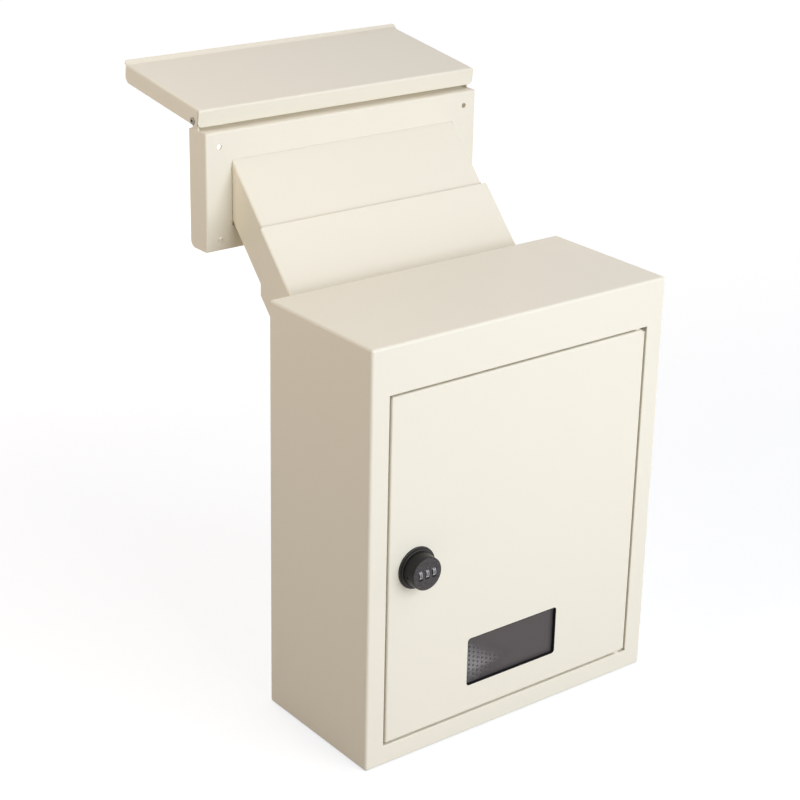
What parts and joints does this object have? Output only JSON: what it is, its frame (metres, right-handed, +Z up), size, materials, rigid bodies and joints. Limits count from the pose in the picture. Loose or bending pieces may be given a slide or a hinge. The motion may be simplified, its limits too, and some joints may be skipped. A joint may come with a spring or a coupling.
{
  "type": "through-wall drop box",
  "caption": "Cream steel drop box for an indoor wall with a combination-locked door and smoked window, a telescopic sloping chute through the wall and an outdoor pan with a drop lid.",
  "frame": {"origin": "centre of the four wall holes, on the outer face of the box's back panel", "axes": "+X to the right as seen from the room, +Y from the room to the outdoors, square to the wall, +Z up"},
  "size_m": [0.254, 0.3211, 0.4281],
  "materials": {
    "cream_paint": "satin powder coat, fine texture",
    "black_lock": "satin black, lightly textured",
    "dial_silver": "satin silver",
    "zinc_steel": "zinc plated",
    "smoked_pane": "smoked clear sheet",
    "black_rubber": "matte black seal",
    "dark_screen": "dark grey, matte"
  },
  "bodies": {
    "indoor_box": {"box_shell": "cream_paint", "back_panel": "cream_paint", "lower_chute": "cream_paint", "door_hinge_pins": "zinc_steel"},
    "door": {"door_panel": "cream_paint", "window_gasket": "black_rubber", "window_pane": "smoked_pane", "window_screen": "dark_screen", "window_retainer": "dark_screen", "window_studs": "zinc_steel", "window_nuts": "zinc_steel", "lock_housing": "black_lock", "lock_washer": "zinc_steel", "lock_nut": "zinc_steel"},
    "lock_core": {"lock_knob": "black_lock", "lock_spindle": "zinc_steel", "dial_axle": "zinc_steel", "detent_spring": "zinc_steel", "lock_cam": "zinc_steel", "cam_bolt": "zinc_steel"},
    "left_dial": {"dial_left": "dial_silver"},
    "middle_dial": {"dial_middle": "dial_silver"},
    "right_dial": {"dial_right": "dial_silver"},
    "reset_button": {"reset_pin": "zinc_steel"},
    "outdoor_unit": {"upper_chute": "cream_paint", "outdoor_pan": "cream_paint", "lid_hinge_pins": "zinc_steel"},
    "lid": {"drop_lid": "cream_paint"}
  },
  "joints": [
    {"name": "door_hinge", "type": "hinge", "parent": "indoor_box", "child": "door", "pos_m": [0.1045, -0.1101, 0], "axis": [0, 0, 1], "range_deg": [0, 115]},
    {"name": "lock_turn", "type": "hinge", "parent": "door", "child": "lock_core", "pos_m": [-0.0875, -0.114, 0.0183], "axis": [0, 1, 0], "range_deg": [0, 90]},
    {"name": "left_dial_turn", "type": "hinge", "parent": "lock_core", "child": "left_dial", "pos_m": [-0.09305, -0.1223, 0.0183], "axis": [1, 0, 0], "continuous": true},
    {"name": "middle_dial_turn", "type": "hinge", "parent": "lock_core", "child": "middle_dial", "pos_m": [-0.0875, -0.1223, 0.0183], "axis": [1, 0, 0], "continuous": true},
    {"name": "right_dial_turn", "type": "hinge", "parent": "lock_core", "child": "right_dial", "pos_m": [-0.08195, -0.1223, 0.0183], "axis": [1, 0, 0], "continuous": true},
    {"name": "reset_press", "type": "slide", "parent": "lock_core", "child": "reset_button", "axis": [1, 0, 0], "range_m": [0, 0.001], "stiffness_N_per_m": 150},
    {"name": "chute_slide", "type": "slide", "parent": "indoor_box", "child": "outdoor_unit", "axis": [0, 0.682, 0.7314], "range_m": [-0.055, 0.05]},
    {"name": "lid_hinge", "type": "hinge", "parent": "outdoor_unit", "child": "lid", "pos_m": [0, 0.1019, 0.27853], "axis": [1, 0, 0], "range_deg": [-97.7, 18]}
  ]
}
